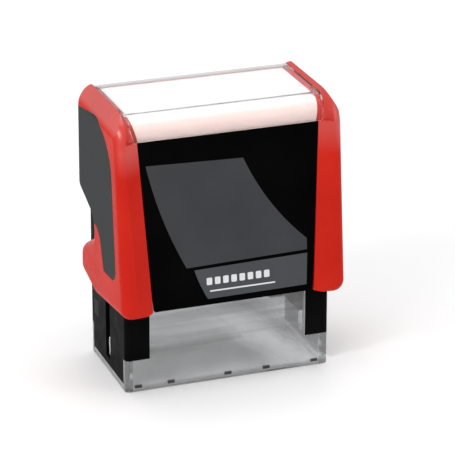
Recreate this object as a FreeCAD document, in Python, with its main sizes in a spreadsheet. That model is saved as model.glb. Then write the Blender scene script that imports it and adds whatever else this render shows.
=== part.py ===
"""Self-inking hand stamp, in millimetres.

+X is the stamp's right, +Y its back, +Z up; z = 0 is the paper.
Sub-parts are drawn about the axle's plane (Y = 0) and shifted back together,
so that the document's origin is the middle of the whole stamp's footprint.
"""
import FreeCAD, Part
import math
import os
import Sketcher

V = FreeCAD.Vector

PARAMS = {
    # clear base
    "base_width": 57.8, "base_depth": 30.6, "base_side_height": 9.1,
    "side_wall": 2.3, "end_wall": 1.6, "corner_radius": 1.3,
    "tongue_width": 44.2, "tongue_top": 25.2,
    "mark_width": 2.0, "mark_depth": 0.7, "mark_height": 0.8, "mark_bottom": 1.0,
    "skirt_thick": 0.8, "skirt_gap": 0.05, "skirt_half": 13.2, "skirt_bottom": 1.85,
    # press and turning die
    "stroke": 20.5, "die_reach": 5.5, "pad_gap": 0.25,
    "axle_radius": 1.5, "axle_fit": 0.05, "slot_clearance": 0.3,
    "pin_radius": 0.9, "pin_arm": 4.0, "groove_clearance": 0.25,
    "groove_depth": 1.1, "pin_end_clearance": 0.2,
    "die_length": 48.0, "die_width": 17.2, "die_plate_top": 3.2,
    "die_plate_thick": 2.0, "boss_radius": 2.6, "cheek_thick": 1.6,
    "cheek_drop": 1.7, "cheek_width": 16.4,
    "foam_length": 44.6, "foam_width": 16.4, "foam_thick": 0.7,
    "rubber_length": 44.0, "rubber_width": 16.2, "relief_height": 0.8,
    "relief_length": 42.0, "relief_width": 15.2, "relief_line": 0.8,
    # inner frame
    "frame_shoulder": 34.0, "frame_top": 43.4, "frame_deck": 2.0,
    "frame_upper_depth": 28.2, "frame_inner_depth": 25.2,
    "leg_inner": 22.2, "frame_window_top": 25.5,
    "ledge_top": 32.3, "ledge_thick": 1.0, "ledge_width": 1.1,
    "button_centre": 10.3, "button_height": 14.5, "button_width": 3.8,
    "button_tall": 4.8, "button_gap": 0.3, "button_travel": 1.0,
    # ink cartridge
    "tray_width": 52.4, "tray_bottom": 32.4, "tray_top": 40.8,
    "tray_front": 11.9, "tray_back": 13.2, "grip_back": 14.7,
    "pad_length": 46.0, "pad_width": 18.0, "pad_thick": 5.3,
    # spring
    "spring_radius": 6.5, "wire_radius": 0.45, "spring_turns": 6.0,
    "seat_ring": 0.9, "seat_height": 1.2, "seat_clearance": 0.4,
    # cap
    "cap_width": 62.6, "cap_height": 78.3,
    "cap_bottom": 20.7, "cap_front_lift": 2.7, "bevel_top": 28.1, "bevel_drop": 6.2,
    "cap_back": 18.6,
    "cap_edge_round": 3.0, "cap_inner_width": 58.4, "cap_inner_depth": 31.2,
    "cap_clear_top": 66.5, "cap_ceiling": 72.6, "deck_top": 75.2,
    "dome_half": 24.0, "dome_front": 12.8, "dome_back": 13.0,
    "yoke_thick": 0.9, "yoke_depth": 11.0, "yoke_bottom": 22.6,
    "window_plane": 76.9, "window_width": 54.8, "window_low_width": 50.8,
    "window_thick": 1.0, "window_gap": 0.2,
    "window_back": 14.2, "window_front": 15.9, "window_round": 6.1,
    "card_thick": 0.3, "card_room": 0.5, "card_foot": 70.65, "card_margin": 1.2,
    "window_foot": 0.9, "flare_out": 1.2, "flare_up": 1.9,
    "face_top": 70.6, "face_bottom": 24.5,
    "face_top_front": 15.8, "face_bottom_front": 20.2,
    "face_top_half": 25.1, "face_bottom_half": 22.2, "panel_thick": 1.6,
    "ridge": 2.3, "band_flare_angle": 62.0, "inlay_proud": 0.2, "inlay_depth": 0.5,
    "rear_panel_inner": 16.7, "rear_panel_thick": 1.0,
    "rear_panel_bottom": 46.5, "rear_panel_top": 72.0,
    "grip_inner": 30.45,
    # whole stamp
    "base_centre_y": 1.861,
}

doc = FreeCAD.newDocument("SelfInkingStamp")
sheet = doc.addObject("Spreadsheet::Sheet", "Params")


def fill_sheet():
    for row, (alias, value) in enumerate(PARAMS.items(), start=1):
        sheet.set("A%d" % row, alias)
        sheet.set("B%d" % row, str(value))
        sheet.setAlias("B%d" % row, alias)
    doc.recompute()


def value(expression):
    """The number an expression over the sheet's aliases gives."""
    return float(sheet.evalExpression(bound(expression)))


def bound(expression):
    """Put the sheet's name in front of every alias in an expression."""
    words = []
    word = ""
    for letter in str(expression) + " ":
        if letter.isalnum() or letter in "_.":
            word += letter
        else:
            words.append("Params." + word if word in PARAMS else word)
            words.append(letter)
            word = ""
    return "".join(words).strip()


AXLE_Z = "(stroke + die_reach + pad_gap)"
PAD_Z = "(stroke + 2 * die_reach + 2 * pad_gap)"
DECK_ROUND = "(window_round - window_thick - card_room)"
SLOT_FOOT = "(die_reach + pad_gap - axle_radius - slot_clearance)"

# outlines on the front face, as (x, z), and the finger grip's from the side, as (y, z)
UPPER_INLAY = [("-23.1", "64.2"), ("-13.0", "35.4"), ("20.9", "36.1"), ("20.9", "39.2"),
               ("3.7", "63.3")]
UPPER_ARCS = {0: 110.0, 3: -70.0}
LOWER_INLAY = [("-10.9", "34.5"), ("-7.4", "26.2"), ("20.5", "26.4"), ("20.9", "35.1")]
LOWER_ARCS = {0: 40.0}
FINGER_GRIP = [("-15.2", "36.4"), ("-12.0", "31.9"), ("-4.6", "31.5"), ("-2.2", "39.0"),
               ("0.8", "42.2"), ("20.0", "42.2"), ("20.0", "71.0"), ("3.0", "73.0"),
               ("-12.9", "62.6")]
GRIP_ARCS = {0: 3.6, 3: -12.0, 7: 15.5}


# ---------------------------------------------------------------- helpers

def new_body(label):
    body = doc.addObject("PartDesign::Body", label)
    body.Label = label
    return body


def plane_of(body, role):
    return next(o for o in body.Origin.OriginFeatures if o.Role == role)


def new_sketch(body, role, offset="0"):
    """A sketch on one of the body's origin planes, lifted along its normal."""
    sketch = body.newObject("Sketcher::SketchObject", body.Label + "_sketch")
    sketch.AttachmentSupport = [(plane_of(body, role), "")]
    sketch.MapMode = "FlatFace"
    sketch.AttachmentOffset = FreeCAD.Placement(V(0, 0, value(offset)), FreeCAD.Rotation())
    sketch.setExpression("AttachmentOffset.Base.z", bound(offset))
    return sketch


def pin_point(sketch, geometry, position, x, y):
    """Tie a point of the sketch to two expressions, measured from the origin."""
    for kind, expression in (("DistanceX", x), ("DistanceY", y)):
        index = sketch.addConstraint(
            Sketcher.Constraint(kind, -1, 1, geometry, position, value(expression)))
        sketch.setExpression("Constraints[%d]" % index, bound(expression))


def outline(sketch, corners, arcs=None):
    """A closed outline through corners given as expressions.

    arcs maps the number of a stretch to its radius; a negative radius bows
    to the right of the direction of travel, a positive one to the left.
    """
    arcs = arcs or {}
    points = [V(value(x), value(y), 0) for x, y in corners]
    first = sketch.GeometryCount
    count = len(points)
    for i, start in enumerate(points):
        end = points[(i + 1) % count]
        if i in arcs:
            sketch.addGeometry(bowed(start, end, arcs[i]))
        else:
            sketch.addGeometry(Part.LineSegment(start, end))
    for i, (x, y) in enumerate(corners):
        here = first + i
        before = first + (i - 1) % count
        here_start = 1 if arcs.get(i, 1) > 0 else 2
        before_end = 2 if arcs.get((i - 1) % count, 1) > 0 else 1
        sketch.addConstraint(
            Sketcher.Constraint("Coincident", before, before_end, here, here_start))
        pin_point(sketch, here, here_start, x, y)
    for i, radius in arcs.items():
        sketch.addConstraint(Sketcher.Constraint("Radius", first + i, abs(radius)))


def bowed(start, end, radius):
    """The shallow arc from start to end."""
    half = (end - start) * 0.5
    side = V(-half.y, half.x, 0).normalize()
    sagitta = abs(radius) - math.sqrt(radius * radius - half.Length ** 2)
    middle = start + half - side * math.copysign(sagitta, radius)
    return Part.Arc(start, middle, end)


def rectangle(sketch, x0, x1, y0, y1):
    outline(sketch, [(x0, y0), (x1, y0), (x1, y1), (x0, y1)])


def circle(sketch, x, y, radius):
    index = sketch.addGeometry(Part.Circle(V(value(x), value(y), 0), V(0, 0, 1), value(radius)))
    pin_point(sketch, index, 3, x, y)
    tie = sketch.addConstraint(Sketcher.Constraint("Radius", index, value(radius)))
    sketch.setExpression("Constraints[%d]" % tie, bound(radius))


def feature(body, kind, sketch, length, middle=False, through=False, reverse=False):
    item = body.newObject("PartDesign::" + kind, body.Label + "_" + kind)
    item.Profile = sketch
    if through:
        item.Type = 1
    item.setExpression("Length", bound(length))
    item.Midplane = middle
    item.Reversed = reverse
    sketch.Visibility = False
    body.Tip = item
    doc.recompute()
    return item


def pad(body, sketch, length, **how):
    return feature(body, "Pad", sketch, length, **how)


def pocket(body, sketch, length, **how):
    before = body.Shape.Volume
    item = feature(body, "Pocket", sketch, length, **how)
    if body.Shape.Volume > before - 1e-3:
        raise RuntimeError(body.Label + ": the pocket cuts nothing")
    return item


def block(body, x0, x1, y0, y1, z0, z1, cut=False):
    """A rectangular pad or pocket between six planes."""
    sketch = new_sketch(body, "XY_Plane", z0)
    rectangle(sketch, x0, x1, y0, y1)
    height = "(%s) - (%s)" % (z1, z0)
    if cut:
        return pocket(body, sketch, height, reverse=True)
    return pad(body, sketch, height)


def mirrored(inner, outer):
    """The spans from an inner to an outer plane on either side of the middle."""
    return [("-(%s)" % outer, "-(%s)" % inner), (inner, outer)]


def soften(body, edges, radius, kind="Fillet"):
    tip = body.Tip
    item = body.newObject("PartDesign::" + kind, body.Label + "_" + kind)
    item.Base = (tip, edges)
    name = "Radius" if kind == "Fillet" else "Size"
    item.setExpression(name, bound(radius))
    body.Tip = item
    doc.recompute()
    if item.Shape.isNull() or not item.Shape.isValid():
        raise RuntimeError("%s: rounding %s by %s failed" % (body.Label, edges, radius))
    return item


def edges_where(body, test):
    """Names of the edges whose middle and direction pass a test."""
    names = []
    for number, edge in enumerate(body.Shape.Edges, start=1):
        ends = edge.Vertexes
        if len(ends) < 2:
            continue
        run = ends[1].Point - ends[0].Point
        if test(edge.CenterOfMass, run, edge):
            names.append("Edge%d" % number)
    return names


def upright_edges(body, half_x, half_y, z_low=-1e3, z_high=1e3):
    """Vertical edges at the four corners of a rectangle about the origin."""
    def test(middle, run, _):
        upright = abs(run.x) + abs(run.y) < 1e-4
        at_corner = abs(abs(middle.x) - half_x) < 1e-3 and abs(abs(middle.y) - half_y) < 1e-3
        return upright and at_corner and z_low < middle.z < z_high
    return edges_where(body, test)


def cross_edge(body, y, z):
    """The edges along X at a place in the side view."""
    def test(middle, run, _):
        along = abs(run.y) + abs(run.z) < 1e-4
        return along and abs(middle.y - y) < 0.02 and abs(middle.z - z) < 0.02
    return edges_where(body, test)


# ---------------------------------------------------------- axle slot and cam

def axle_slot(body, z0, z1):
    """Upright slot for the axle through both side walls."""
    reach = "(axle_radius + slot_clearance)"
    sketch = new_sketch(body, "YZ_Plane")
    outline(sketch, [("-" + reach, z0), (reach, z0), (reach, z1), ("-" + reach, z1)])
    pocket(body, sketch, "base_width + 2", middle=True)


def cam_side(shift):
    """The cam pin's path about a wall, set off by a distance to one side."""
    arm = value("pin_arm")
    drop = value("stroke") / math.pi
    steps = 16
    points = []
    for i in range(steps + 1):
        turn = math.pi * i / steps
        y = arm * math.cos(turn)
        z = value(AXLE_Z) - drop * turn + arm * math.sin(turn)
        along = V(-arm * math.sin(turn), -drop + arm * math.cos(turn), 0).normalize()
        points.append(V(y, z, 0) + V(-along.y, along.x, 0) * shift)
    curve = Part.BSplineCurve()
    curve.interpolate(points)
    return curve, points


def cam_groove():
    """The room of the blind grooves in both side walls that turn the die over."""
    reach = value("pin_radius + groove_clearance")
    near, near_points = cam_side(reach)
    far, far_points = cam_side(-reach)
    caps = []
    for end, outward in ((0, V(0, 1, 0)), (-1, V(0, -1, 0))):
        middle = (near_points[end] + far_points[end]) * 0.5
        caps.append(Part.Arc(near_points[end], middle + outward * reach, far_points[end]))
    wire = Part.Wire(Part.__sortEdges__([c.toShape() for c in (near, far, *caps)]))
    upright = FreeCAD.Matrix(0, 0, 1, 0, 1, 0, 0, 0, 0, 1, 0, 0, 0, 0, 0, 1)
    face = Part.Face(wire.transformGeometry(upright))
    inner = value("base_width / 2 - side_wall")
    depth = value("groove_depth")
    cutters = []
    for side in (1, -1):
        start = inner - 0.5 if side > 0 else -inner - depth
        cutters.append(face.translated(V(start, 0, 0)).extrude(V(depth + 0.5, 0, 0)))
    return cutters


def cut_cam(label, body):
    """The body with its cam grooves taken out, as a boolean of the document."""
    grooves = doc.addObject("Part::Feature", label + "_cam")
    grooves.Shape = Part.makeCompound(cam_groove())
    cut = doc.addObject("Part::Cut", label)
    cut.Base = body
    cut.Tool = grooves
    cut.Label = label
    doc.recompute()
    return cut


# ------------------------------------------------------------------- base

def mark_places():
    """Middles along X of the position marks on the front rim."""
    return ["(%g * base_width)" % share for share in (-0.44, -0.28, 0.0, 0.19, 0.43)]


def clear_base():
    body = new_body("clear_base_body")
    half_x, half_y = "base_width / 2", "base_depth / 2"
    block(body, "-" + half_x, half_x, "-" + half_y, half_y, "0", "base_side_height")
    soften(body, upright_edges(body, value(half_x), value(half_y)), "corner_radius")
    for low, high in mirrored("base_depth / 2 - end_wall", "base_depth / 2"):
        block(body, "-tongue_width / 2", "tongue_width / 2", low, high,
              "base_side_height / 2", "tongue_top")
    block(body, "-(base_width / 2 - side_wall)", "base_width / 2 - side_wall",
          "-(base_depth / 2 - end_wall)", "base_depth / 2 - end_wall",
          "0", "base_side_height + 20", cut=True)
    for low, high in mirrored("base_width / 2 - skirt_thick - skirt_gap", "base_width / 2 + 1"):
        block(body, low, high, "-(skirt_half + skirt_gap)", "skirt_half + skirt_gap",
              "skirt_bottom - skirt_gap", "base_side_height + 1", cut=True)
    axle_slot(body, SLOT_FOOT, "base_side_height + 1")
    for x in mark_places():
        block(body, x + " - mark_width / 2", x + " + mark_width / 2", "-base_depth / 2",
              "-(base_depth / 2 - mark_depth)", "mark_bottom", "mark_bottom + mark_height",
              cut=True)
    return cut_cam("clear_base", body)


def position_marks():
    """Small dark studs let into the front rim, each its own solid."""
    studs = []
    for number, x in enumerate(mark_places()):
        stud = doc.addObject("Part::Box", "position_mark_%d" % number)
        stud.setExpression("Length", bound("mark_width"))
        stud.setExpression("Width", bound("mark_depth"))
        stud.setExpression("Height", bound("mark_height"))
        stud.setExpression("Placement.Base.x", bound(x + " - mark_width / 2"))
        stud.setExpression("Placement.Base.y", bound("-base_depth / 2"))
        stud.setExpression("Placement.Base.z", bound("mark_bottom"))
        studs.append(stud)
    group = doc.addObject("Part::Compound", "position_marks")
    group.Links = studs
    group.Label = "position_marks"
    doc.recompute()
    return group


def inner_frame():
    body = new_body("inner_frame_body")
    half_x, half_y = "base_width / 2", "base_depth / 2"
    block(body, "-" + half_x, half_x, "-" + half_y, half_y, "base_side_height", "frame_shoulder")
    soften(body, upright_edges(body, value(half_x), value(half_y)), "corner_radius")
    block(body, "-" + half_x, half_x, "-frame_upper_depth / 2", "frame_upper_depth / 2",
          "frame_shoulder - 1", "frame_top")
    wide = "base_width / 2 - side_wall"
    deck_under = "frame_top - frame_deck"
    block(body, "-(%s)" % wide, wide, "-frame_inner_depth / 2", "frame_inner_depth / 2",
          "base_side_height", deck_under, cut=True)
    block(body, "-leg_inner", "leg_inner", "-base_depth", "base_depth",
          "base_side_height", "frame_window_top", cut=True)
    block(body, "-(%s)" % wide, wide, "0", "base_depth", PAD_Z + " - 0.4", deck_under, cut=True)
    for low, high in mirrored(wide + " - ledge_width", wide):
        block(body, low, high, "-frame_inner_depth / 2", "frame_inner_depth / 2",
              "ledge_top - ledge_thick", "ledge_top")
    for low, high in mirrored("base_width / 2 - skirt_thick", "base_width / 2"):
        block(body, low, high, "-skirt_half", "skirt_half", "skirt_bottom",
              "base_side_height + 0.5")
    axle_slot(body, SLOT_FOOT, AXLE_Z + " + axle_radius + slot_clearance")
    reach_y = "button_width / 2 + button_gap / 2"
    reach_z = "button_tall / 2 + button_gap / 2"
    sketch = new_sketch(body, "YZ_Plane")
    rectangle(sketch, "button_centre - (%s)" % reach_y, "button_centre + " + reach_y,
              "button_height - (%s)" % reach_z, "button_height + " + reach_z)
    pocket(body, sketch, "base_width + 2", middle=True)
    seat = new_sketch(body, "XY_Plane", "frame_top")
    bore = "spring_radius + wire_radius + seat_clearance"
    circle(seat, "0", "0", bore + " + seat_ring")
    circle(seat, "0", "0", bore)
    pad(body, seat, "seat_height")
    return cut_cam("inner_frame", body)


def lock_button(side):
    """Push button in the side wall, flush with the wall's outer face."""
    body = new_body("lock_button_right" if side > 0 else "lock_button_left")
    low, high = mirrored("base_width / 2 - side_wall + 0.1", "base_width / 2")[side > 0]
    block(body, low, high, "button_centre - button_width / 2", "button_centre + button_width / 2",
          "button_height - button_tall / 2", "button_height + button_tall / 2")
    return body


def main_spring():
    body = new_body("main_spring")
    sketch = new_sketch(body, "XZ_Plane")
    circle(sketch, "spring_radius", "frame_top + wire_radius + 0.05", "wire_radius")
    coil = body.newObject("PartDesign::AdditiveHelix", "main_spring_coil")
    coil.Profile = sketch
    coil.ReferenceAxis = (sketch, ["V_Axis"])
    coil.Mode = 1
    height = "cap_ceiling - yoke_thick - frame_top - 2 * wire_radius - 0.35"
    coil.setExpression("Pitch", bound("(%s) / spring_turns" % height))
    coil.setExpression("Turns", bound("spring_turns"))
    sketch.Visibility = False
    body.Tip = coil
    doc.recompute()
    return body


# -------------------------------------------------------------- ink cartridge

def cartridge_tray():
    body = new_body("cartridge_tray")
    block(body, "-tray_width / 2", "tray_width / 2", "-tray_front", "tray_back",
          "tray_bottom", "tray_top")
    block(body, "-(pad_length / 2 + 0.1)", "pad_length / 2 + 0.1",
          "-(pad_width / 2 + 0.1)", "pad_width / 2 + 0.1",
          "tray_bottom", PAD_Z + " + pad_thick + 0.05", cut=True)
    for height in ("tray_bottom + 1.4", "tray_bottom + 3.8", "tray_bottom + 6.2"):
        block(body, "-tray_width * 0.32", "tray_width * 0.32", "tray_back - 0.5", "grip_back",
              height, height + " + 1.0")
    return body


def ink_pad():
    body = new_body("ink_pad")
    block(body, "-pad_length / 2", "pad_length / 2", "-pad_width / 2", "pad_width / 2",
          PAD_Z, PAD_Z + " + pad_thick")
    return body


# -------------------------------------------------------------------- die

def die_plate():
    body = new_body("die_plate")
    top = AXLE_Z + " + die_plate_top"
    block(body, "-die_length / 2", "die_length / 2", "-die_width / 2", "die_width / 2",
          top + " - die_plate_thick", top)
    boss = new_sketch(body, "YZ_Plane")
    circle(boss, "0", AXLE_Z, "boss_radius")
    pad(body, boss, "die_length", middle=True)
    for low, high in mirrored("die_length / 2 - cheek_thick", "die_length / 2"):
        block(body, low, high, "-cheek_width / 2", "cheek_width / 2",
              AXLE_Z + " - cheek_drop", top + " - die_plate_thick / 2")
    bore = new_sketch(body, "YZ_Plane")
    circle(bore, "0", AXLE_Z, "axle_radius + 0.02")
    circle(bore, "pin_arm", AXLE_Z, "pin_radius + 0.02")
    pocket(body, bore, "die_length + 2", middle=True)
    return body


def die_axle():
    body = new_body("die_axle")
    sketch = new_sketch(body, "YZ_Plane")
    circle(sketch, "0", AXLE_Z, "axle_radius")
    pad(body, sketch, "cap_inner_width + 2 * yoke_thick - 0.2", middle=True)
    names = ["Edge%d" % n for n, e in enumerate(body.Shape.Edges, start=1) if e.Closed]
    soften(body, names, "0.3", kind="Chamfer")
    return body


def cam_pins():
    """The two pins that follow the cam grooves, each its own solid."""
    pins = []
    for side in (-1, 1):
        pin = doc.addObject("Part::Cylinder", "cam_pin_right" if side > 0 else "cam_pin_left")
        reach = "(base_width / 2 - side_wall + groove_depth - pin_end_clearance)"
        root = "(die_length / 2 - cheek_thick)"
        pin.setExpression("Radius", bound("pin_radius"))
        pin.setExpression("Height", bound(reach + " - " + root))
        start = root if side > 0 else "-" + reach
        pin.Placement = FreeCAD.Placement(V(0, 0, 0), FreeCAD.Rotation(V(0, 1, 0), 90))
        pin.setExpression("Placement.Base.x", bound(start))
        pin.setExpression("Placement.Base.y", bound("pin_arm"))
        pin.setExpression("Placement.Base.z", bound(AXLE_Z))
        pins.append(pin)
    group = doc.addObject("Part::Compound", "cam_pins")
    group.Links = pins
    group.Label = "cam_pins"
    doc.recompute()
    return group


def cushion_foam():
    body = new_body("cushion_foam")
    low = AXLE_Z + " + die_plate_top"
    block(body, "-foam_length / 2", "foam_length / 2", "-foam_width / 2", "foam_width / 2",
          low, low + " + foam_thick")
    return body


def text_plate():
    """Rubber sheet with a raised border and plain raised rules, no lettering."""
    body = new_body("text_plate")
    low = AXLE_Z + " + die_plate_top + foam_thick"
    sheet_top = AXLE_Z + " + die_reach - relief_height"
    block(body, "-rubber_length / 2", "rubber_length / 2", "-rubber_width / 2",
          "rubber_width / 2", low, sheet_top)
    relief = new_sketch(body, "XY_Plane", sheet_top)
    rectangle(relief, "-relief_length / 2", "relief_length / 2",
              "-relief_width / 2", "relief_width / 2")
    rectangle(relief, "-(relief_length / 2 - relief_line)", "relief_length / 2 - relief_line",
              "-(relief_width / 2 - relief_line)", "relief_width / 2 - relief_line")
    for row in (-1, 0, 1):
        middle = "%d * relief_width / 4" % row
        reach = "relief_length * %g" % (0.36 - 0.06 * abs(row))
        rectangle(relief, "-" + reach, reach, middle + " - relief_line", middle + " + relief_line")
    pad(body, relief, "relief_height")
    return body


# -------------------------------------------------------------------- cap

def face_y(z):
    """Where the leaning front face is at a height, as an expression."""
    lean = "(face_bottom_front - face_top_front) / (face_top - face_bottom)"
    return "-(face_top_front + (face_top - (%s)) * %s)" % (z, lean)


def cover_blank():
    """The cap's outside: the side outline across the full width, rounded."""
    body = new_body("cover_blank")
    front_bottom = "(cap_bottom + cap_front_lift)"
    ridge_top = face_y("cap_height") + " - ridge"
    ridge_low = face_y(front_bottom) + " - ridge"
    corners = [
        ("cap_back", "47.5", 3.6),
        ("cap_back - 0.5", "cap_height", 8.0),
        (ridge_top, "cap_height", 10.0),
        (ridge_low, front_bottom, 3.6),
        ("4.5", "cap_bottom - 0.1", 5.0),
        ("cap_back - 1.4", "cap_bottom + 3", 3.6),
        ("cap_back - 1.6", "31.3", 3.6),
        ("0.5", "40.3", 3.6),
    ]
    sketch = new_sketch(body, "YZ_Plane")
    outline(sketch, [(y, z) for y, z, _ in corners])
    pad(body, sketch, "cap_width", middle=True)
    for y, z, radius in corners:
        soften(body, cross_edge(body, value(y), value(z)), str(radius))
    sides = ["Face%d" % n for n, f in enumerate(body.Shape.Faces, start=1)
             if abs(abs(f.CenterOfMass.x) - value("cap_width / 2")) < 1e-3]
    soften(body, sides, "cap_edge_round")
    bevel_top(body)
    return body


def bevel_top(body):
    """Slope the covers down and outwards from their ridges."""
    for side in (-1, 1):
        sketch = new_sketch(body, "XZ_Plane")
        outline(sketch, [
            ("%d * bevel_top" % side, "cap_height + 0.01"),
            ("%d * (cap_width / 2 + 0.01)" % side, "cap_height - bevel_drop"),
            ("%d * (cap_width / 2 + 5)" % side, "cap_height - bevel_drop"),
            ("%d * (cap_width / 2 + 5)" % side, "cap_height + 0.01")])
        pocket(body, sketch, "cap_width * 2", middle=True)


def face_prism(label, corners, arcs=None):
    """A prism along Y through an outline in the front view."""
    body = new_body(label)
    sketch = new_sketch(body, "XZ_Plane", "10")
    outline(sketch, corners, arcs)
    pad(body, sketch, "20")
    return body


def leaning_slab(label, out, back):
    """A slab parallel to the front face, between two distances from it."""
    body = new_body(label)
    top, low = "face_top", "face_bottom"
    sketch = new_sketch(body, "YZ_Plane")
    outline(sketch, [
        (face_y(low) + " - (%s)" % out, low),
        (face_y(low) + " + (%s)" % back, low),
        (face_y(top) + " + (%s)" % back, top),
        (face_y(top) + " - (%s)" % out, top),
    ])
    pad(body, sketch, "cap_width", middle=True)
    return body


def boolean(kind, label, base, tool):
    item = doc.addObject("Part::" + kind, label)
    item.Base = base
    item.Tool = tool
    item.Label = label
    doc.recompute()
    return item


def panel_outline(gap):
    half_top = "face_top_half - %s" % gap
    half_low = "face_bottom_half - %s" % gap
    return [("-(%s)" % half_low, "face_bottom"), (half_low, "face_bottom"),
            (half_top, "face_top"), ("-(%s)" % half_top, "face_top")]


def front_panel_parts():
    """The black front panel and the two inlays let into its face.

    Each recess is a solid of its own, because the inlay itself is shifted
    with the other sub-parts.
    """
    plate = boolean("Common", "panel_plate", face_prism("panel_prism", panel_outline("0.1")),
                    leaning_slab("panel_slab", "0", "panel_thick"))
    upper_prism = face_prism("upper_prism", UPPER_INLAY, UPPER_ARCS)
    lower_prism = face_prism("lower_prism", LOWER_INLAY, LOWER_ARCS)
    slab = leaning_slab("inlay_slab", "inlay_proud", "inlay_depth")
    inlays = []
    panel = plate
    for name, prism in (("front_inlay_upper", upper_prism), ("front_inlay_lower", lower_prism)):
        inlays.append(boolean("Common", name, prism, slab))
        recess = boolean("Common", name + "_recess", prism, slab)
        panel = boolean("Cut", "panel_after_" + name, panel, recess)
    panel.Label = "front_panel"
    return panel, inlays[0], inlays[1]


def grip_prism(side):
    """Outline of the finger grip in the side view, through the cover's outer wall."""
    body = new_body("grip_prism_right" if side > 0 else "grip_prism_left")
    offset = "grip_inner" if side > 0 else "-grip_inner"
    sketch = new_sketch(body, "YZ_Plane", offset)
    outline(sketch, FINGER_GRIP, GRIP_ARCS)
    pad(body, sketch, "5", reverse=side < 0)
    return body


def cap_parts():
    """The red housing and the grip inserts that share its outside."""
    blank = cover_blank()
    housing = boolean("Cut", "housing_shell", blank, cavity_tool())
    grips = []
    for name, side in (("grip_insert_left", -1), ("grip_insert_right", 1)):
        prism = grip_prism(side)
        grips.append(boolean("Common", name, blank, prism))
        housing = boolean("Cut", "housing_for_" + name, housing, prism)
    housing.Label = "cap_housing"
    return housing, grips[0], grips[1]


def cavity_tool():
    """Everything taken out of the cap's outside, fused into one tool."""
    room = new_body("cap_room")
    half_x, half_y = "cap_inner_width / 2", "cap_inner_depth / 2"
    block(room, "-" + half_x, half_x, "-" + half_y, half_y, "0", "cap_clear_top")
    block(room, "-dome_half", "dome_half", "-dome_front", "dome_back",
          "cap_clear_top - 1", "cap_ceiling")
    reach_x = "(cap_inner_width / 2 + yoke_thick + 0.05)"
    block(room, "-" + reach_x, reach_x, "-(yoke_depth / 2 + 0.05)", "yoke_depth / 2 + 0.05",
          "0", "cap_ceiling")
    block(room, "-(face_top_half + 0.1)", "face_top_half + 0.1", "cap_inner_depth / 2 - 1", "25",
          "0", "rear_panel_top + 0.1")
    front = new_body("front_opening")
    sketch = new_sketch(front, "XZ_Plane", "face_top_front - panel_thick")
    corners = panel_outline("0")
    corners[0] = ("-face_bottom_half", "face_bottom - 8")
    corners[1] = ("face_bottom_half", "face_bottom - 8")
    outline(sketch, corners)
    pad(front, sketch, "20")
    top = new_body("window_channel")
    channel = new_sketch(top, "YZ_Plane")
    deck_front = "-(window_front - window_thick - card_room)"
    outline(channel, [
        ("cap_back + 1", "deck_top"), ("cap_back + 1", "cap_height + 2"),
        ("-40", "cap_height + 2"), ("-40", "face_top - 0.05"),
        (deck_front, "face_top - 0.05"), (deck_front, "deck_top")])
    pad(top, channel, "cap_width", middle=True)
    soften(top, cross_edge(top, value(deck_front), value("deck_top")), DECK_ROUND)
    bay = boolean("Common", "window_bay", top, window_prism("window_bay_prism", "window_gap"))
    tool = doc.addObject("Part::MultiFuse", "cap_cuts")
    feet = [band_foot("band_foot_left", -1), band_foot("band_foot_right", 1)]
    tool.Shapes = [room, front, bay, band_flare(), window_flare()] + feet
    doc.recompute()
    return tool


def window_prism(label, gap):
    """The window's outline from the front, run through the cap from front to back."""
    body = new_body(label)
    top = "(window_width / 2 + (%s))" % gap
    low = "(window_low_width / 2 + (%s))" % gap
    sketch = new_sketch(body, "XZ_Plane")
    outline(sketch, [
        ("-" + low, "face_top - 2"), (low, "face_top - 2"), (top, "window_plane"),
        (top, "cap_height + 3"), ("-" + top, "cap_height + 3"), ("-" + top, "window_plane")])
    pad(body, sketch, "cap_width * 2", middle=True)
    return body


def band_flare():
    """Widens the front opening forwards, so that the bands slope up from the panel."""
    body = new_body("band_flare")
    sketch = new_sketch(body, "XZ_Plane")
    lean = math.atan2(value("face_bottom_front - face_top_front"),
                      value("face_top - face_bottom"))
    foot = value(face_y("0"))
    sketch.AttachmentOffset = FreeCAD.Placement(
        V(0, 0, -foot), FreeCAD.Rotation(V(1, 0, 0), -math.degrees(lean)))
    sketch.setExpression("AttachmentOffset.Base.z", None)
    stretch = "%.6f" % (1 / math.cos(lean))
    outline(sketch, [
        ("-face_bottom_half", "(face_bottom - 8) * " + stretch),
        ("face_bottom_half", "(face_bottom - 8) * " + stretch),
        ("face_top_half", "face_top * " + stretch), ("-face_top_half", "face_top * " + stretch)])
    flare = pad(body, sketch, "ridge + 1")
    flare.setExpression("TaperAngle", bound("band_flare_angle"))
    doc.recompute()
    return body


def band_foot(label, side):
    """Slopes a front band's bottom edge up to the panel's corner."""
    body = new_body(label)
    sketch = new_sketch(body, "XZ_Plane", "cap_inner_depth / 2 - 0.1")
    near = "%d * (face_bottom_half - 1)" % side
    far = "%d * cap_inner_width / 2" % side
    outline(sketch, [
        (near, "cap_bottom - 1"), (far, "cap_bottom - 1"),
        (far, "cap_bottom + cap_front_lift - 0.2"), (near, "face_bottom + 0.1")])
    pad(body, sketch, "15")
    return body


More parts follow.
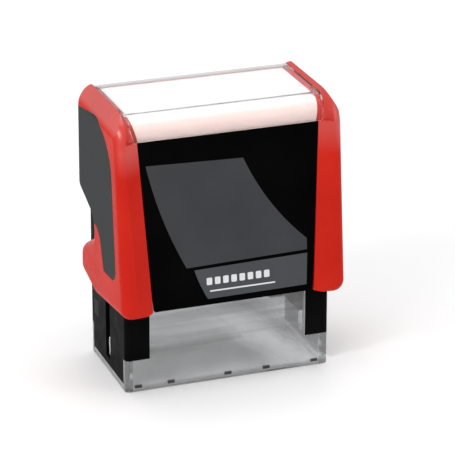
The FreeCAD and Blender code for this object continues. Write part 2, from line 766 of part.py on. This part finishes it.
def window_flare():
    """Bevels the covers' top edges along the window, flat stretch and curve."""
    body = new_body("window_flare")
    turn_y = "-(window_front - window_round)"
    turn_z = "(window_plane - window_round)"
    low = "window_width / 2 + window_gap"
    sketch = new_sketch(body, "XZ_Plane", "window_front - window_round")
    outline(sketch, [
        ("-(%s)" % low, "window_plane"), (low, "window_plane"),
        (low + " + flare_out", "window_plane + flare_up"),
        ("-(%s + flare_out)" % low, "window_plane + flare_up")])
    axis = sketch.addGeometry(
        Part.LineSegment(V(-30, value(turn_z), 0), V(30, value(turn_z), 0)), True)
    pin_point(sketch, axis, 1, "-30", turn_z)
    pin_point(sketch, axis, 2, "30", turn_z)
    pad(body, sketch, "cap_back + 1 - (%s)" % turn_y, reverse=True)
    sweep = body.newObject("PartDesign::Revolution", "window_flare_turn")
    sweep.Profile = sketch
    sweep.ReferenceAxis = (sketch, ["Axis0"])
    sweep.Angle = 90
    body.Tip = sweep
    doc.recompute()
    if sweep.Shape.BoundBox.YMin > value(turn_y) - 1:
        sweep.Reversed = True
        doc.recompute()
    return body


def axle_yoke():
    """Inner bridge with a leg down each side that carries the axle."""
    body = new_body("axle_yoke")
    half = "cap_inner_width / 2"
    sketch = new_sketch(body, "XZ_Plane")
    outline(sketch, [
        ("-(%s + yoke_thick)" % half, "yoke_bottom"), ("-" + half, "yoke_bottom"),
        ("-" + half, "cap_ceiling - yoke_thick"), (half, "cap_ceiling - yoke_thick"),
        (half, "yoke_bottom"), (half + " + yoke_thick", "yoke_bottom"),
        (half + " + yoke_thick", "cap_ceiling"), ("-(%s + yoke_thick)" % half, "cap_ceiling")])
    pad(body, sketch, "yoke_depth", middle=True)
    bore = new_sketch(body, "YZ_Plane")
    circle(bore, "0", AXLE_Z, "axle_radius + axle_fit")
    pocket(body, bore, "cap_width", middle=True)
    return body


def rear_panel():
    body = new_body("rear_panel")
    block(body, "-face_top_half", "face_top_half", "rear_panel_inner",
          "rear_panel_inner + rear_panel_thick", "rear_panel_bottom", "rear_panel_top")
    return body


def index_window():
    """Clear cover over the card, curved down at the front, narrower at its foot."""
    body = new_body("window_profile")
    outer_front, inner_front = "-window_front", "-(window_front - window_thick)"
    low = "face_top + 0.1"
    sketch = new_sketch(body, "YZ_Plane")
    outline(sketch, [
        ("window_back", "window_plane"), (outer_front, "window_plane"), (outer_front, low),
        (inner_front + " - 0.05", low), (inner_front + " - 0.05", "window_plane - window_thick"),
        ("window_back", "window_plane - window_thick")])
    pad(body, sketch, "cap_width", middle=True)
    soften(body, cross_edge(body, value(inner_front) - 0.05, value("window_plane - window_thick")),
           "window_round - window_thick")
    soften(body, cross_edge(body, -value("window_front"), value("window_plane")), "window_round")
    for y in ("-7", "window_back - 2"):
        for low, high in mirrored("window_width / 2 - window_foot", "window_width / 2 - 0.1"):
            block(body, low, high, y, y + " + 2", "deck_top", "window_plane - 0.5")
    return boolean("Common", "index_window", body, window_prism("window_prism", "0"))


def index_card():
    """Paper card on the deck, bent down behind the window's curved front."""
    body = new_body("card_profile")
    deck_front = "-(window_front - window_thick - card_room + 0.02)"
    card_front = deck_front + " - card_thick"
    deck_up = "(deck_top + 0.02)"
    card_up = deck_up + " + card_thick"
    back = "window_back - 0.8"
    sketch = new_sketch(body, "YZ_Plane")
    outline(sketch, [
        (back, deck_up), (back, card_up), (card_front, card_up), (card_front, "card_foot"),
        (deck_front, "card_foot"), (deck_front, deck_up)])
    pad(body, sketch, "cap_width", middle=True)
    bend = DECK_ROUND + " - 0.1"
    soften(body, cross_edge(body, value(deck_front), value(deck_up)), bend)
    soften(body, cross_edge(body, value(card_front), value(card_up)), bend + " + card_thick")
    return boolean("Common", "index_card", body, window_prism("card_prism", "-card_margin"))


# ------------------------------------------------------------------ assembly

def sub_parts():
    front_panel, inlay_upper, inlay_lower = front_panel_parts()
    housing, grip_left, grip_right = cap_parts()
    return [
        clear_base(), position_marks(), inner_frame(), lock_button(-1), lock_button(1),
        main_spring(), cartridge_tray(), ink_pad(),
        die_plate(), die_axle(), cam_pins(), cushion_foam(), text_plate(),
        housing, axle_yoke(), front_panel, inlay_upper, inlay_lower, rear_panel(),
        grip_left, grip_right, index_card(), index_window(),
    ]


def check(item):
    if {"Invalid", "Error"} & set(item.State):
        raise RuntimeError("%s: %s" % (item.Label, item.State))


def write(item):
    shape = item.Shape.copy()
    if shape.isNull() or not shape.isValid():
        raise RuntimeError(item.Label + ": no valid shape")
    shape.exportStep(os.path.join("parts", item.Label + ".step"))


fill_sheet()
PARTS = sub_parts()
for part in PARTS:
    part.setExpression("Placement.Base.y", bound("base_centre_y"))
doc.recompute()
for item in doc.Objects:
    check(item)
os.makedirs("parts", exist_ok=True)
for part in PARTS:
    write(part)
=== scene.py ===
import math

import bpy
from mathutils import Matrix, Vector


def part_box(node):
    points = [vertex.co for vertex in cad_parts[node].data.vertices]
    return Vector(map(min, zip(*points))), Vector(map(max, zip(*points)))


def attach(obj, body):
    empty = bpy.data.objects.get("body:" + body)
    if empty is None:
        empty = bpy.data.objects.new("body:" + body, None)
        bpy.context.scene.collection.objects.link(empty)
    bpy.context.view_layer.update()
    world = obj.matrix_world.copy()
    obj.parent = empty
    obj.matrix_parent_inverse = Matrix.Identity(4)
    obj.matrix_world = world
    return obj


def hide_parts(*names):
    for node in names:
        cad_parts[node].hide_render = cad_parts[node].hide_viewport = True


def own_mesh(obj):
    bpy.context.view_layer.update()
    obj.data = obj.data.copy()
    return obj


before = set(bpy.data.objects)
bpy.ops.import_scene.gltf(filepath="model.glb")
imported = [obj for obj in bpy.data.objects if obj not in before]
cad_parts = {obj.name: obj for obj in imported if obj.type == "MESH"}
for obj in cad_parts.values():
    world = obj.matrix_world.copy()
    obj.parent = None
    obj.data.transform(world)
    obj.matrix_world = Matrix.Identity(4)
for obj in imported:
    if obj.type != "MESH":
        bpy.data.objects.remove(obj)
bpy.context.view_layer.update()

MM = 0.001

SPRING_SEAT_GAP = 0.05 * MM
FACE_LEAN = math.atan2(4.4, 46.1)
FILM_THICKNESS = 0.04 * MM


# ------------------------------------------------------------------ materials

class Nodes:
    """A small helper to lay out one material's node tree."""

    def __init__(self, name):
        self.material = bpy.data.materials.new(name)
        self.material.use_nodes = True
        self.tree = self.material.node_tree
        self.shader = self.tree.nodes["Principled BSDF"]
        coordinates = self.tree.nodes.new("ShaderNodeTexCoord")
        self.place = coordinates.outputs["Object"]

    def add(self, kind, links=None, **settings):
        node = self.tree.nodes.new("ShaderNode" + kind)
        for key, value in settings.items():
            setattr(node, key, value)
        for socket, source in (links or {}).items():
            self.join(source, node.inputs[socket])
        return node

    def join(self, source, socket):
        if isinstance(source, bpy.types.NodeSocket):
            self.tree.links.new(source, socket)
        else:
            socket.default_value = source

    def set(self, **values):
        for key, value in values.items():
            self.join(value, self.shader.inputs[key.replace("_", " ")])

    def noise(self, scale, detail=3.0, roughness=0.5, stretch=None):
        place = self.place
        if stretch:
            place = self.add("Mapping", {"Vector": place, "Scale": stretch}).outputs["Vector"]
        return self.add("TexNoise", {
            "Vector": place, "Scale": scale, "Detail": detail, "Roughness": roughness,
        }).outputs["Fac"]

    def spread(self, factor, low, high, start=0.35, end=0.65):
        """Map a factor's middle range onto low to high."""
        return self.add("MapRange", {
            "Value": factor, "From Min": start, "From Max": end, "To Min": low, "To Max": high,
        }).outputs["Result"]

    def blend(self, factor, first, second):
        node = self.add("Mix", data_type="RGBA")
        self.join(factor, node.inputs[0])
        self.join(first, node.inputs[6])
        self.join(second, node.inputs[7])
        return node.outputs[2]

    def relief(self, height, strength, distance, under=None):
        links = {"Height": height, "Strength": strength, "Distance": distance}
        if under is not None:
            links["Normal"] = under
        return self.add("Bump", links).outputs["Normal"]

    def axes(self):
        """The surface point's X, Y and Z."""
        return self.add("SeparateXYZ", {"Vector": self.place}).outputs

    def times(self, first, second):
        return self.add("Math", {0: first, 1: second}, operation="MULTIPLY").outputs[0]

    def times_plus(self, first, second, more):
        links = {0: first, 1: second, 2: more}
        return self.add("Math", links, operation="MULTIPLY_ADD").outputs[0]

    def pass_light(self):
        """Let light through to what lies behind, as clear plastic does."""
        shadow = self.add("LightPath").outputs["Is Shadow Ray"]
        clear = self.add("BsdfTransparent").outputs["BSDF"]
        mix = self.add("MixShader", {0: shadow, 1: self.shader.outputs["BSDF"], 2: clear})
        self.join(mix.outputs["Shader"], self.tree.nodes["Material Output"].inputs["Surface"])

    def soft_edges(self, radius):
        return self.add("Bevel", {"Radius": radius}, samples=6).outputs["Normal"]


def colour(red, green, blue):
    return (red, green, blue, 1.0)


def moulded(name, deep, pale, gloss, grain, edge=0.25 * MM, texture=2600.0, shine=0.5):
    """Moulded plastic: faint colour drift, uneven polish and a fine skin."""
    m = Nodes(name)
    drift = m.noise(55.0, 4.0)
    skin = m.noise(texture, 2.0)
    smear = m.noise(240.0, 5.0, 0.6)
    m.set(
        Base_Color=m.blend(m.spread(drift, 0.0, 1.0), deep, pale),
        Roughness=m.spread(smear, gloss * 0.85, gloss * 1.2),
        IOR=1.49,
        Specular_IOR_Level=shine,
        Normal=m.relief(skin, grain, 0.03 * MM, m.soft_edges(edge)),
    )
    return m.material


def red_shell():
    """Red moulded plastic, polished where the covers turn over at the top."""
    m = Nodes("red_gloss_plastic")
    drift = m.noise(38.0, 3.0)
    orange_peel = m.noise(900.0, 1.5)
    smear = m.noise(160.0, 6.0, 0.62)
    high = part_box("cap_housing")[1]
    axes = m.axes()
    across = m.add("Math", {0: axes["X"]}, operation="ABSOLUTE").outputs[0]
    upper = m.spread(axes["Z"], 0.0, 1.0, high.z - 16 * MM, high.z - 9 * MM)
    inner = m.spread(across, 1.0, 0.0, high.x - 0.9 * MM, high.x - 0.1 * MM)
    polish = m.times(upper, inner)
    m.set(
        Base_Color=m.blend(m.spread(drift, 0.0, 1.0), colour(0.49, 0.016, 0.009),
                           colour(0.56, 0.022, 0.013)),
        Roughness=m.spread(smear, 0.24, 0.34),
        IOR=1.5,
        Specular_IOR_Level=0.02,
        Coat_Weight=m.spread(polish, 0.0, 1.0, 0.0, 1.0),
        Coat_Roughness=0.3,
        Coat_IOR=1.6,
        Normal=m.relief(orange_peel, 0.10, 0.02 * MM, m.soft_edges(0.35 * MM)),
    )
    return m.material


def soft_grip():
    m = Nodes("grip_soft_grey")
    cells = m.add("TexVoronoi", {"Vector": m.place, "Scale": 2400.0}).outputs["Distance"]
    wear = m.noise(120.0, 5.0, 0.6)
    m.set(
        Base_Color=m.blend(m.spread(wear, 0.0, 1.0), colour(0.034, 0.036, 0.037),
                           colour(0.046, 0.048, 0.049)),
        Roughness=m.spread(wear, 0.52, 0.66),
        Specular_IOR_Level=0.03,
        Normal=m.relief(cells, 0.35, 0.02 * MM, m.soft_edges(0.2 * MM)),
    )
    return m.material


def clear_plastic(name, tint, roughness, edge, bending=1.49):
    """Clear moulded plastic with faint flow lines, as nodes to refine further."""
    m = Nodes(name)
    flow = m.noise(70.0, 3.0, 0.5, stretch=(1.0, 1.0, 3.5))
    haze = m.noise(420.0, 4.0)
    m.set(
        Base_Color=tint,
        Roughness=m.spread(haze, roughness * 0.6, roughness * 1.5),
        IOR=bending,
        Specular_IOR_Level=0.25,
        Transmission_Weight=1.0,
        Normal=m.relief(flow, 0.16, 0.25 * MM, m.soft_edges(edge)),
    )
    m.pass_light()
    return m


def base_plastic():
    """Greyish clear plastic: a denser rim, faint level lines, walls darker towards the top, and
    one diagonal band that lets less light through as a painted reflection.
    """
    m = clear_plastic("clear_base_plastic", colour(0.84, 0.85, 0.86), 0.05, 0.2 * MM)
    axes = m.axes()
    across = axes["X"]
    height = axes["Z"]

    haze = m.noise(260.0, 4.0)
    lower = m.blend(m.spread(haze, 0.0, 1.0), colour(0.78, 0.79, 0.80), colour(0.84, 0.85, 0.86))
    rise = m.spread(height, 0.0, 1.0, 11 * MM, 17 * MM)
    walls = m.blend(rise, lower, colour(0.70, 0.71, 0.72))

    streaks = m.noise(420.0, 1.0, stretch=(0.035, 0.6, 1.0))
    above_rim = m.spread(height, 0.0, 1.0, 8 * MM, 11 * MM)
    lines = m.times(above_rim, m.spread(streaks, 0.0, 0.8, 0.47, 0.6))
    body = m.blend(lines, walls, colour(0.48, 0.485, 0.49))
    above_foot = m.spread(height, 0.0, 1.0, 1.0 * MM, 1.6 * MM)

    # Painted reflection: a diagonal band across the walls lets less light through, so more of
    # the lit plastic shows there, standing in for a light's reflection on the clear walls.
    slant = m.times_plus(height, 1.35, across)
    wander = m.times_plus(m.noise(90.0, 3.0), 9 * MM, slant)
    reflection_band_start = m.spread(wander, 0.0, 1.0, 20 * MM, 29 * MM)
    reflection_band_end = m.spread(wander, 1.0, 0.0, 31 * MM, 38 * MM)
    painted_reflection_band = m.times(reflection_band_start, reflection_band_end)
    m.set(
        Base_Color=m.blend(above_foot, colour(0.50, 0.505, 0.51), body),
        Transmission_Weight=m.spread(painted_reflection_band, 0.88, 0.62, 0.0, 1.0),
    )
    return m.material


def window_plastic():
    """Clear plastic, with a painted pink reflection of the red shell where it bends down,
    frosted along the back.
    """
    m = clear_plastic("clear_window_plastic", colour(0.96, 0.965, 0.97), 0.08, 0.2 * MM, 1.3)
    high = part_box("index_window")[1]
    axes = m.axes()
    # Painted reflection: below the flat top, where the window bends down, the colour turns pink
    # as a painted reflection of the red shell.
    shell_reflection_mask = m.spread(axes["Z"], 1.0, 0.0, high.z - 2.2 * MM, high.z - 0.7 * MM)
    frosted = m.spread(axes["Y"], 0.0, 1.0, high.y - 1.5 * MM, high.y - 1.2 * MM)
    tint = m.blend(shell_reflection_mask, colour(0.93, 0.935, 0.94), colour(0.93, 0.80, 0.77))
    m.set(
        Base_Color=m.blend(frosted, tint, colour(0.60, 0.60, 0.61)),
        Transmission_Weight=m.spread(frosted, 1.0, 0.15, 0.0, 1.0),
    )
    return m.material


def paper():
    m = Nodes("white_card")
    fibre = m.noise(900.0, 6.0, 0.7, stretch=(1.0, 2.2, 1.0))
    m.set(
        Base_Color=m.blend(m.spread(fibre, 0.0, 1.0), colour(0.75, 0.755, 0.76),
                           colour(0.80, 0.80, 0.795)),
        Roughness=0.85,
        Subsurface_Weight=0.1,
        Subsurface_Radius=(0.3 * MM, 0.3 * MM, 0.3 * MM),
        Normal=m.relief(fibre, 0.25, 0.02 * MM),
    )
    return m.material


def printed(name, ink):
    """A dense printed ink film with a few lighter specks."""
    m = Nodes(name)
    specks = m.noise(3200.0, 3.0)
    film = m.noise(600.0, 3.0)
    lighter = tuple(min(1.0, c * 1.12) for c in ink[:3]) + (1.0,)
    m.set(
        Base_Color=m.blend(m.spread(specks, 0.0, 1.0), ink, lighter),
        Roughness=m.spread(film, 0.38, 0.5),
        Normal=m.relief(film, 0.15, 0.01 * MM),
    )
    return m.material


def drawn_steel(name, along):
    """Bright drawn wire or ground rod, with streaks along one direction."""
    m = Nodes(name)
    streaks = m.noise(900.0, 5.0, 0.7, stretch=along)
    patches = m.noise(160.0, 3.0)
    m.set(
        Base_Color=m.blend(m.spread(patches, 0.0, 1.0), colour(0.46, 0.46, 0.47),
                           colour(0.62, 0.62, 0.63)),
        Metallic=1.0,
        Roughness=m.spread(streaks, 0.2, 0.38),
        Anisotropic=0.35,
        Normal=m.relief(streaks, 0.2, 0.01 * MM),
    )
    return m.material


def inked_felt():
    m = Nodes("inked_felt")
    fibre = m.noise(2100.0, 8.0, 0.75)
    pools = m.noise(130.0, 4.0)
    m.set(
        Base_Color=m.blend(m.spread(pools, 0.0, 1.0), colour(0.006, 0.008, 0.05),
                           colour(0.016, 0.024, 0.13)),
        Roughness=m.spread(pools, 0.42, 0.85),
        Sheen_Weight=0.3,
        Normal=m.relief(fibre, 0.8, 0.12 * MM),
    )
    return m.material


def cell_foam():
    m = Nodes("closed_cell_foam")
    cells = m.add("TexVoronoi", {"Vector": m.place, "Scale": 3200.0}).outputs["Distance"]
    drift = m.noise(150.0, 3.0)
    m.set(
        Base_Color=m.blend(m.spread(drift, 0.0, 1.0), colour(0.62, 0.6, 0.54),
                           colour(0.72, 0.7, 0.65)),
        Roughness=0.8,
        Normal=m.relief(cells, 0.6, 0.06 * MM),
    )
    return m.material


def stamp_rubber():
    """Red-brown laser-cut rubber, stained blue where it meets the pad."""
    m = Nodes("stamp_rubber")
    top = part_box("text_plate")[1].z
    inked = m.spread(m.axes()["Z"], 0.0, 1.0, top - 0.45 * MM, top - 0.1 * MM)
    grain = m.noise(2600.0, 5.0)
    drift = m.noise(200.0, 4.0)
    bare = m.blend(m.spread(drift, 0.0, 1.0), colour(0.34, 0.10, 0.07), colour(0.42, 0.13, 0.09))
    m.set(
        Base_Color=m.blend(inked, bare, colour(0.018, 0.02, 0.09)),
        Roughness=m.spread(drift, 0.5, 0.7),
        Normal=m.relief(grain, 0.35, 0.02 * MM),
    )
    return m.material


def node_materials():
    """Which finish each CAD node takes."""
    black_frame = moulded("black_satin_plastic", colour(0.002, 0.002, 0.0022),
                          colour(0.004, 0.004, 0.0043), 0.38, 0.25, shine=0.01)
    panel = moulded("black_gloss_plastic", colour(0.0008, 0.0008, 0.0009),
                    colour(0.0018, 0.0018, 0.0019), 0.16, 0.08, shine=0.01)
    inlay = moulded("matt_grey_inlay", colour(0.038, 0.039, 0.043), colour(0.047, 0.048, 0.052),
                    0.5, 0.4, edge=0.1 * MM, texture=5200.0, shine=0.1)
    band = moulded("matt_grey_band", colour(0.052, 0.057, 0.061), colour(0.062, 0.067, 0.072),
                   0.46, 0.35, edge=0.1 * MM, texture=5200.0, shine=0.15)
    button = moulded("button_black_plastic", colour(0.006, 0.006, 0.0065),
                     colour(0.01, 0.01, 0.0105), 0.4, 0.3, shine=0.03)
    tray = moulded("cartridge_blue_black_plastic", colour(0.012, 0.016, 0.04),
                   colour(0.02, 0.026, 0.06), 0.36, 0.3)
    die = moulded("die_black_plastic", colour(0.012, 0.012, 0.013),
                  colour(0.02, 0.02, 0.021), 0.42, 0.4)
    studs = moulded("stud_dark_rubber", colour(0.02, 0.02, 0.021), colour(0.035, 0.035, 0.036),
                   0.75, 0.8, edge=0.1 * MM)
    grip = soft_grip()
    return {
        "clear_base": base_plastic(),
        "position_marks": studs,
        "inner_frame": black_frame,
        "lock_button_left": button,
        "lock_button_right": button,
        "main_spring": drawn_steel("spring_steel", (1.0, 1.0, 6.0)),
        "cartridge_tray": tray,
        "ink_pad": inked_felt(),
        "die_plate": die,
        "die_axle": drawn_steel("axle_steel", (0.2, 4.0, 4.0)),
        "cam_pins": drawn_steel("pin_steel", (0.2, 4.0, 4.0)),
        "cushion_foam": cell_foam(),
        "text_plate": stamp_rubber(),
        "cap_housing": red_shell(),
        "axle_yoke": black_frame,
        "front_panel": panel,
        "front_inlay_upper": inlay,
        "front_inlay_lower": band,
        "rear_panel": panel,
        "grip_insert_left": grip,
        "grip_insert_right": grip,
        "index_card": paper(),
        "index_window": window_plastic(),
    }


def dress(materials):
    for node, material in materials.items():
        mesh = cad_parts[node].data
        mesh.materials.clear()
        mesh.materials.append(material)


# --------------------------------------------------------------- small pieces

def mesh_piece(name, vertices, faces, material, body):
    mesh = bpy.data.meshes.new(name)
    mesh.from_pydata(vertices, [], faces)
    mesh.update()
    piece = bpy.data.objects.new(name, mesh)
    bpy.context.collection.objects.link(piece)
    mesh.materials.append(material)
    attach(piece, body)
    return piece


def rounded_outline(width, height, radius, steps=8):
    """Corner-rounded rectangle about the origin, counterclockwise."""
    points = []
    corners = ((1, 1, 0), (-1, 1, 90), (-1, -1, 180), (1, -1, 270))
    for sx, sy, start in corners:
        cx = sx * (width / 2 - radius)
        cy = sy * (height / 2 - radius)
        for i in range(steps + 1):
            turn = math.radians(start + 90.0 * i / steps)
            points.append((cx + radius * math.cos(turn), cy + radius * math.sin(turn)))
    return points


def film(name, outline, thickness, to_world, material, body, slot):
    """A thin printed film: an outline lifted a little off a face."""
    count = len(outline)
    vertices = [to_world @ Vector((x, y, 0.0)) for x, y in outline]
    vertices += [to_world @ Vector((x, y, thickness)) for x, y in outline]
    faces = [tuple(range(count, 2 * count))]
    faces += [(i, (i + 1) % count, count + (i + 1) % count, count + i) for i in range(count)]
    return mesh_piece(name, vertices, faces, material, body)


def face_frame(x, z):
    """Matrix of a point on the lower inlay's face: x right, y up the face, z outwards."""
    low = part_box("front_inlay_lower")[0]
    right = Vector((1.0, 0.0, 0.0))
    up = Vector((0.0, math.sin(FACE_LEAN), math.cos(FACE_LEAN)))
    out = Vector((0.0, -math.cos(FACE_LEAN), math.sin(FACE_LEAN)))
    foot = Vector((x, low.y, low.z))
    place = foot + up * ((z - low.z) / math.cos(FACE_LEAN))
    turn = Matrix((right, up, out)).transposed().to_4x4()
    return Matrix.Translation(place) @ turn


def printed_bar(name, x, z, width, height, radius, ink):
    """A bar of the mark, in millimetres, about a place on the lower inlay."""
    outline = rounded_outline(width * MM, height * MM, radius * MM)
    film(name, outline, FILM_THICKNESS, face_frame(x * MM, z * MM), ink, "cap",
         "front_inlay_lower")


def front_mark():
    """A plain mark on the lower inlay: a row of equal dashes over a fine rule."""
    white = printed("white_print", colour(0.62, 0.63, 0.64))
    count = 8
    pitch = 2.3
    middle = 1.2
    for i in range(count):
        x = middle + pitch * (i - (count - 1) / 2)
        printed_bar("mark_dash_%d" % (i + 1), x, 31.0, 1.55, 2.0, 0.3, white)
    printed_bar("mark_fine_rule", middle + 1.2, 28.3, count * pitch, 0.4, 0.2, white)


def spring_coil():
    """The spring's wire as a piece of its own, riding with the base."""
    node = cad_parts["main_spring"]
    low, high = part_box("main_spring")
    deck = (low + high) / 2
    deck.z = low.z - SPRING_SEAT_GAP
    piece = bpy.data.objects.new("spring_coil", node.data.copy())
    bpy.context.collection.objects.link(piece)
    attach(piece, "base")
    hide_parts("main_spring")
    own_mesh(piece)


# --------------------------------------------------------------------- studio

def studio():
    bpy.ops.mesh.primitive_plane_add(size=6.0, location=(0, 0, -0.0002))
    floor = bpy.context.object
    floor.name = "studio_floor"
    m = Nodes("studio_white")
    tone = m.noise(3.0, 2.0)
    m.set(
        Base_Color=m.blend(m.spread(tone, 0.0, 1.0), colour(0.92, 0.92, 0.92),
                           colour(0.94, 0.94, 0.94)),
        Roughness=0.6,
    )
    floor.data.materials.append(m.material)

    world = bpy.data.worlds.new("studio_world")
    bpy.context.scene.world = world
    world.use_nodes = True
    background = world.node_tree.nodes["Background"]
    background.inputs["Color"].default_value = colour(1.0, 1.0, 1.0)
    background.inputs["Strength"].default_value = 0.75

    middle = Vector((0, 0, 0.04))
    lights = (
        ("key", (-0.55, -0.50, 0.62), 0.24, 0.9),
        ("ridge", (-0.76, -0.32, 0.58), 0.16, 2.2),
        ("fill", (0.75, -0.35, 0.35), 0.5, 1.2),
        ("top", (0.0, 0.05, 0.8), 0.5, 2.0),
    )
    for name, place, size, power in lights:
        data = bpy.data.lights.new("light_" + name, "AREA")
        data.size = size
        data.energy = power
        lamp = bpy.data.objects.new("light_" + name, data)
        bpy.context.collection.objects.link(lamp)
        lamp.location = place
        lamp.rotation_euler = (middle - Vector(place)).to_track_quat("-Z", "Y").to_euler()


def camera():
    """A long lens from above the left of the front."""
    azimuth = math.radians(19.91)
    elevation = math.radians(21.92)
    distance = 0.7272
    aim = Vector((0.0, 0.00226, 0.0401))
    shift_right = 5.18 * MM
    shift_up = -2.21 * MM
    back = Vector((-math.sin(azimuth) * math.cos(elevation),
                   -math.cos(azimuth) * math.cos(elevation), math.sin(elevation)))
    right = Vector((math.cos(azimuth), -math.sin(azimuth), 0.0))
    up = back.cross(right)
    data = bpy.data.cameras.new("camera")
    data.lens = 213.6
    data.sensor_width = 36.0
    data.clip_start = 0.05
    eye = bpy.data.objects.new("camera", data)
    bpy.context.collection.objects.link(eye)
    place = aim + right * shift_right + up * shift_up + back * distance
    turn = Matrix((right, up, back)).transposed().to_4x4()
    eye.matrix_world = Matrix.Translation(place) @ turn
    bpy.context.scene.camera = eye


bpy.context.scene.view_settings.view_transform = "Standard"
dress(node_materials())
front_mark()
spring_coil()
studio()
camera()
